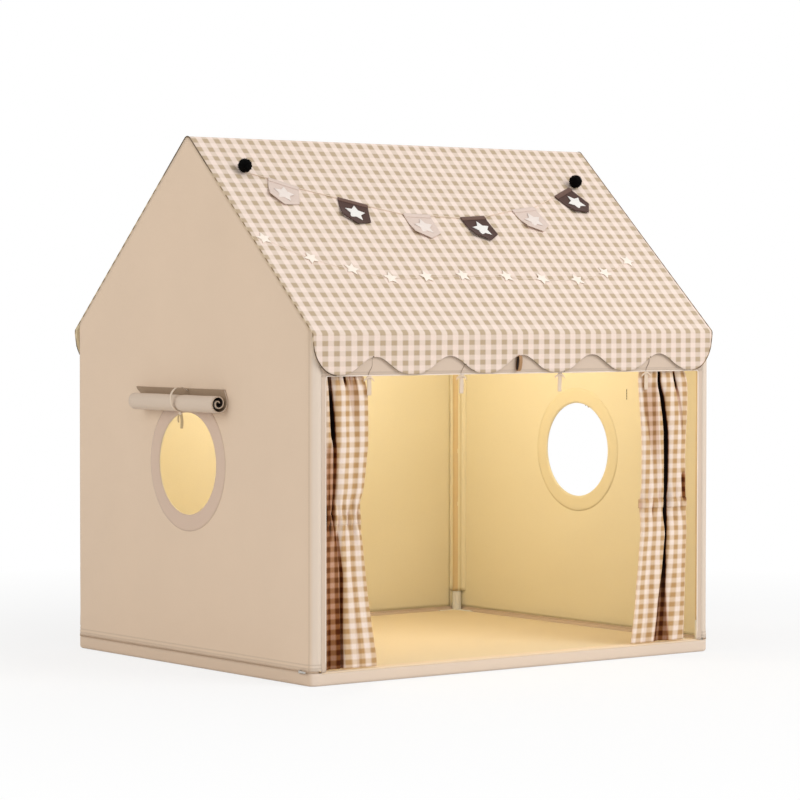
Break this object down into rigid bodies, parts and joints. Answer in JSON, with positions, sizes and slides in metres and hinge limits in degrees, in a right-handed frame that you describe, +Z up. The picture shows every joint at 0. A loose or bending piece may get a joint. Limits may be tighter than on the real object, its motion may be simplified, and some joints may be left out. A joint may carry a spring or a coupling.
{
  "type": "play tent",
  "caption": "Gabled indoor play tent for children: pole frame with socket connectors, zipped cloth cover, scalloped gingham roof, tied-back door curtains and round windows.",
  "frame": {"origin": "on the ground at the middle of the footprint", "axes": "+Z up, X along the ridge with +X to the right of someone who looks in at the door, the door faces -Y"},
  "size_m": [1.3212, 1.0143, 1.25],
  "materials": {
    "connector_plastic": "moulded white, satin",
    "pole_tube": "white powder coat, satin",
    "beige_cloth": "brushed matte weave",
    "facing_cloth": "matte weave",
    "gingham_cloth": "tan and white check, matte",
    "curtain_gingham": "tan and white check, matte",
    "mat_cloth": "soft matte pile",
    "zip_coil": "satin coil on woven tape",
    "nickel": "plated, satin",
    "pale_ribbon": "grosgrain ribbon, matte",
    "brown_leather": "matte",
    "black_wool": "fluffy wool",
    "pale_felt": "felt, matte",
    "brown_felt": "felt, matte",
    "star_plastic": "frosted, slightly translucent"
  },
  "bodies": {
    "house": {"front_left_foot_connector": "connector_plastic", "front_left_eave_connector": "connector_plastic", "front_left_post": "pole_tube", "front_left_rafter": "pole_tube", "front_right_foot_connector": "connector_plastic", "front_right_eave_connector": "connector_plastic", "front_right_post": "pole_tube", "front_right_rafter": "pole_tube", "front_base_rail": "pole_tube", "front_eave_rail": "pole_tube", "back_left_foot_connector": "connector_plastic", "back_left_eave_connector": "connector_plastic", "back_left_post": "pole_tube", "back_left_rafter": "pole_tube", "back_right_foot_connector": "connector_plastic", "back_right_eave_connector": "connector_plastic", "back_right_post": "pole_tube", "back_right_rafter": "pole_tube", "back_base_rail": "pole_tube", "back_eave_rail": "pole_tube", "left_base_rail": "pole_tube", "left_eave_rail": "pole_tube", "left_ridge_connector": "connector_plastic", "right_base_rail": "pole_tube", "right_eave_rail": "pole_tube", "right_ridge_connector": "connector_plastic", "ridge_pole": "pole_tube", "left_wall": "beige_cloth", "right_wall": "beige_cloth", "back_wall": "beige_cloth", "front_panel": "beige_cloth", "ground_sheet": "beige_cloth", "door_sill": "beige_cloth", "left_window_facing": "facing_cloth", "right_window_facing": "facing_cloth", "roof_cover": "gingham_cloth", "floor_mat": "mat_cloth", "base_zip": "zip_coil", "curtain_rod": "pole_tube", "header_ribbons": "pale_ribbon", "strap_loop": "brown_leather", "garland_cord": "black_wool", "pennant_1": "pale_felt", "pennant_2": "brown_felt", "pennant_3": "pale_felt", "pennant_4": "brown_felt", "pennant_5": "pale_felt", "pennant_6": "brown_felt", "star_lights": "star_plastic"},
    "left_curtain_body": {"left_curtain": "curtain_gingham", "left_tie_back": "curtain_gingham"},
    "right_curtain_body": {"right_curtain": "curtain_gingham", "right_tie_back": "curtain_gingham"},
    "left_cover_roll": {"left_window_roll": "beige_cloth", "left_roll_tie": "pale_ribbon"},
    "right_cover_roll": {"right_window_roll": "beige_cloth", "right_roll_tie": "pale_ribbon"},
    "zip_runner": {"zip_slider": "nickel"},
    "zip_tab": {"zip_pull": "nickel"}
  },
  "joints": [
    {"name": "left_curtain_slide", "type": "slide", "parent": "house", "child": "left_curtain_body", "axis": [1, 0, 0], "range_m": [0, 0.37]},
    {"name": "right_curtain_slide", "type": "slide", "parent": "house", "child": "right_curtain_body", "axis": [-1, 0, 0], "range_m": [0, 0.37]},
    {"name": "left_roll_swing", "type": "hinge", "parent": "house", "child": "left_cover_roll", "pos_m": [-0.6053, 0, 0.66], "axis": [0, 1, 0], "range_deg": [0, 60]},
    {"name": "right_roll_swing", "type": "hinge", "parent": "house", "child": "right_cover_roll", "pos_m": [0.6053, 0, 0.66], "axis": [0, -1, 0], "range_deg": [0, 60]},
    {"name": "zip_slide", "type": "slide", "parent": "house", "child": "zip_runner", "axis": [0, 1, 0], "range_m": [0, 0.925]},
    {"name": "zip_pull_swing", "type": "hinge", "parent": "zip_runner", "child": "zip_tab", "pos_m": [-0.6115, -0.4625, 0.0319], "axis": [0, 0, -1], "range_deg": [0, 170]}
  ]
}
